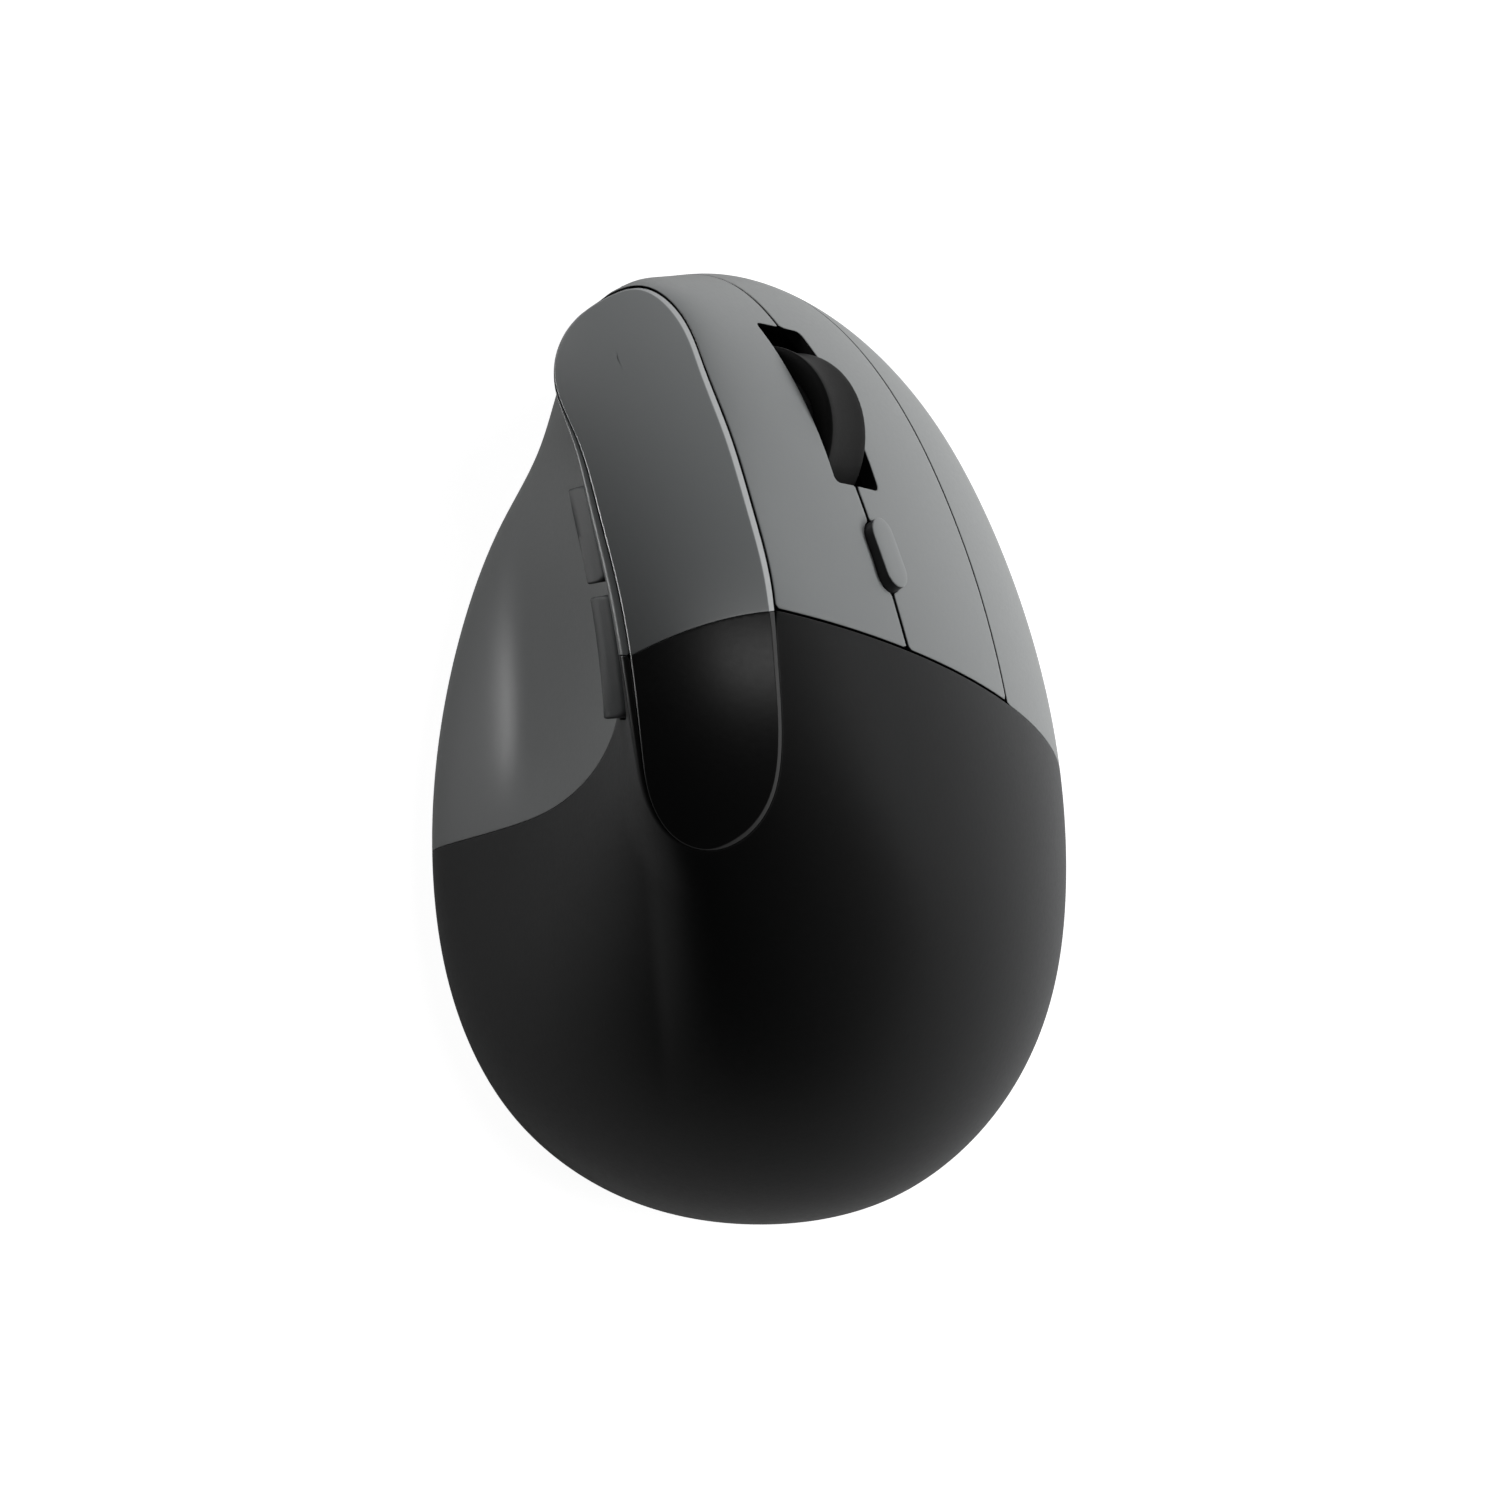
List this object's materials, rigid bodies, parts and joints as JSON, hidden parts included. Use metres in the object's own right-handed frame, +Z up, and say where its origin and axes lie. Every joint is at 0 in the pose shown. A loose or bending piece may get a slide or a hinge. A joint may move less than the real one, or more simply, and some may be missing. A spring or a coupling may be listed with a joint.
{
  "type": "vertical computer mouse",
  "caption": "Right-handed vertical wireless mouse with a sloping finger side, scroll wheel, speed button, two thumb buttons and a battery bay underneath.",
  "frame": {"origin": "on the desk, under the middle of the footprint; z = 0 is the underside of the glide feet", "axes": "+Z up, +Y to the front of the mouse, +X to the finger side"},
  "size_m": [0.072, 0.1079, 0.0704],
  "materials": {
    "graphite_shell": "satin moulded plastic",
    "black_shell": "soft-touch coating",
    "tyre_rubber": "matt rubber",
    "black_plastic": "moulded plastic",
    "glide_pad": "smooth low-friction pad",
    "board": "solder mask",
    "steel": "plain",
    "clear_lens": "clear",
    "white_plastic": "moulded plastic",
    "cell_wrap": "printed film, no text",
    "cable": "flat ribbon"
  },
  "bodies": {
    "housing": {"crest_cover": "graphite_shell", "crest_cap": "black_shell", "rear_shell": "black_shell", "finger_side_panel": "graphite_shell", "thumb_side_panel": "graphite_shell", "finger_board": "board", "left_switch": "black_plastic", "right_switch": "black_plastic", "wheel_switch": "black_plastic", "speed_switch": "black_plastic", "finger_board_socket": "white_plastic", "chassis": "black_plastic", "thumb_board": "board", "forward_switch": "black_plastic", "back_switch": "black_plastic", "thumb_board_socket": "white_plastic", "base_plate": "black_plastic", "front_foot": "glide_pad", "thumb_side_foot": "glide_pad", "finger_side_foot": "glide_pad", "rear_foot": "glide_pad", "battery_cell": "cell_wrap", "battery_tray": "black_plastic", "battery_plate": "steel", "battery_spring": "steel", "usb_receiver": "black_plastic", "main_board": "board", "optical_sensor": "black_plastic", "sensor_lens": "clear_lens", "controller_chip": "black_plastic", "finger_socket": "white_plastic", "thumb_socket": "white_plastic", "power_switch": "steel", "pairing_switch": "black_plastic", "finger_cable": "cable", "thumb_cable": "cable", "board_screw_1": "steel", "board_screw_2": "steel", "board_screw_3": "steel", "main_board_screw_1": "steel", "main_board_screw_2": "steel", "base_screw_1": "steel", "base_screw_2": "steel", "base_screw_3": "steel", "base_screw_4": "steel", "base_screw_5": "steel", "base_screw_6": "steel"},
    "left_button": {"left_button": "graphite_shell"},
    "right_button": {"right_button": "graphite_shell"},
    "wheel_carrier": {"wheel_carrier": "black_plastic", "wheel_encoder": "black_plastic"},
    "wheel": {"wheel_tyre": "tyre_rubber", "wheel_hub": "black_plastic", "wheel_axle": "steel"},
    "speed_button": {"speed_button": "graphite_shell"},
    "forward_button": {"forward_button": "graphite_shell"},
    "back_button": {"back_button": "graphite_shell"},
    "power_knob": {"power_knob": "white_plastic"},
    "pairing_button": {"pairing_button": "white_plastic"},
    "battery_door": {"battery_door": "black_plastic"}
  },
  "joints": [
    {"name": "left_click", "type": "hinge", "parent": "housing", "child": "left_button", "pos_m": [0.00933, 0.0135, 0.06091], "axis": [-0.5446, 0, 0.8387], "range_deg": [0, 0.9]},
    {"name": "right_click", "type": "hinge", "parent": "housing", "child": "right_button", "pos_m": [0.02232, 0.008, 0.0455], "axis": [-0.5446, 0, 0.8387], "range_deg": [0, 0.9]},
    {"name": "wheel_click", "type": "hinge", "parent": "housing", "child": "wheel_carrier", "pos_m": [0.0048, 0.01988, 0.04731], "axis": [-0.5995, 0.1381, 0.7883], "range_deg": [0, 1.5]},
    {"name": "wheel_spin", "type": "hinge", "parent": "wheel_carrier", "child": "wheel", "pos_m": [0.00265, 0.0346, 0.0431], "axis": [0.5995, -0.1381, -0.7883], "continuous": true},
    {"name": "speed_press", "type": "slide", "parent": "housing", "child": "speed_button", "axis": [-0.7405, -0.4695, -0.4809], "range_m": [0, 0.0005]},
    {"name": "forward_press", "type": "slide", "parent": "housing", "child": "forward_button", "axis": [1, 0, 0], "range_m": [0, 0.0005]},
    {"name": "back_press", "type": "slide", "parent": "housing", "child": "back_button", "axis": [1, 0, 0], "range_m": [0, 0.0005]},
    {"name": "power_slide", "type": "slide", "parent": "housing", "child": "power_knob", "axis": [0, 1, 0], "range_m": [0, 0.003]},
    {"name": "pairing_press", "type": "slide", "parent": "housing", "child": "pairing_button", "axis": [0, 0, 1], "range_m": [0, 0.0005]},
    {"name": "door_open", "type": "hinge", "parent": "housing", "child": "battery_door", "pos_m": [0.006, -0.0455, 0.00085], "axis": [-1, 0, 0], "range_deg": [0, 80]}
  ]
}
